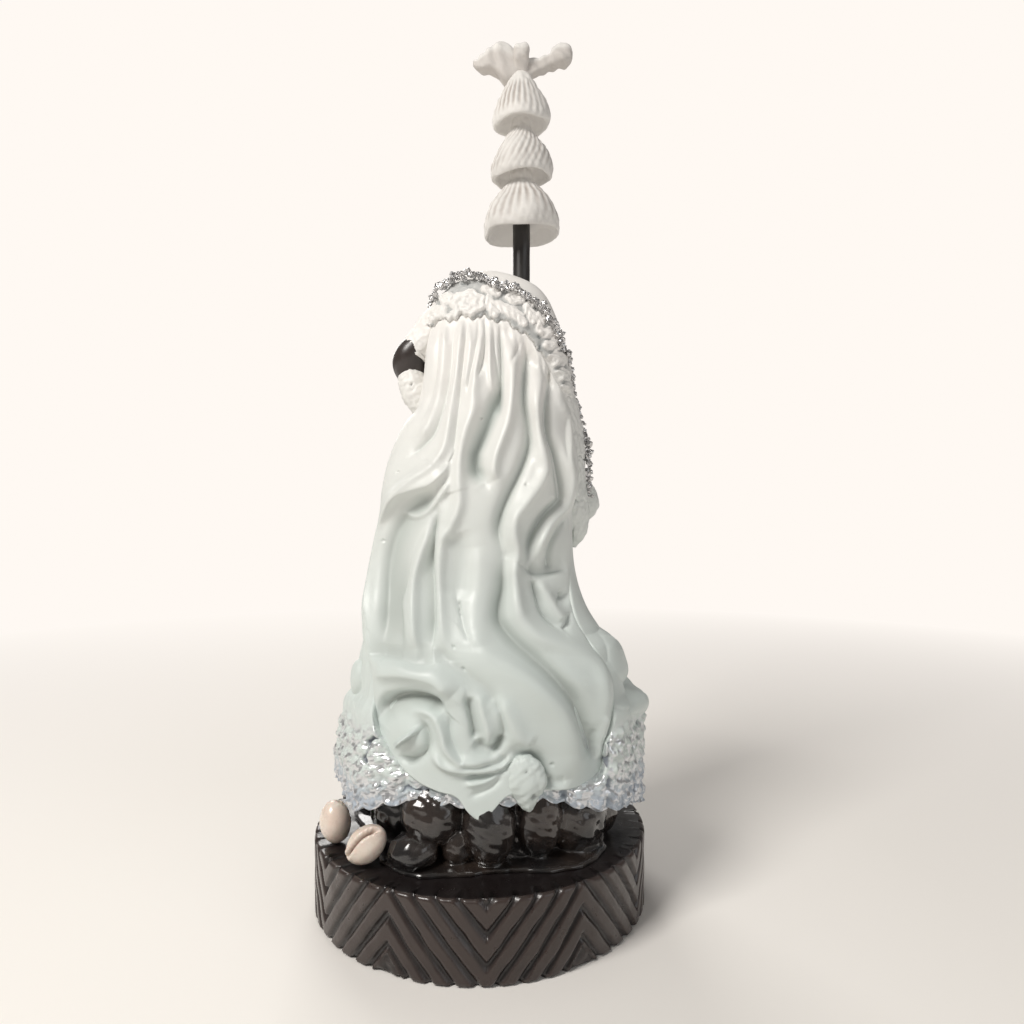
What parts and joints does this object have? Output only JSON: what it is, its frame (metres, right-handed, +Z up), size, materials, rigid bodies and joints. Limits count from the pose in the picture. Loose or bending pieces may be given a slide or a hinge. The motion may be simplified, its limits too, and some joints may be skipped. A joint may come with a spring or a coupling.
{
  "type": "statue of an elder with a staff",
  "caption": "Painted cast statuette of a stooped elder in a white robe and cape, leaning on a tall staff with bells, on a round carved base.",
  "frame": {"origin": "centre of the round base, on the surface that it stands on", "axes": "+Z up; the elder faces -Y, and +X is on his left"},
  "size_m": [0.1098, 0.1098, 0.3116],
  "materials": {
    "dark_base": "dark brown lacquer on cast resin",
    "white_paint": "satin white paint on cast resin",
    "dark_rod": "satin black",
    "white_matte": "matte white cast resin with a grey wash",
    "silver_beads": "bright faceted silver",
    "shell": "smooth ivory to pink shell",
    "skin": "satin near-black paint on cast resin",
    "boulders": "glossy dark brown lacquer on cast resin"
  },
  "bodies": {
    "root": {"base": "dark_base", "figure": "white_paint", "staff_rod": "dark_rod", "staff_head": "white_matte", "silver_trim": "silver_beads", "cowrie_left": "shell", "cowrie_right": "shell"}
  },
  "joints": []
}
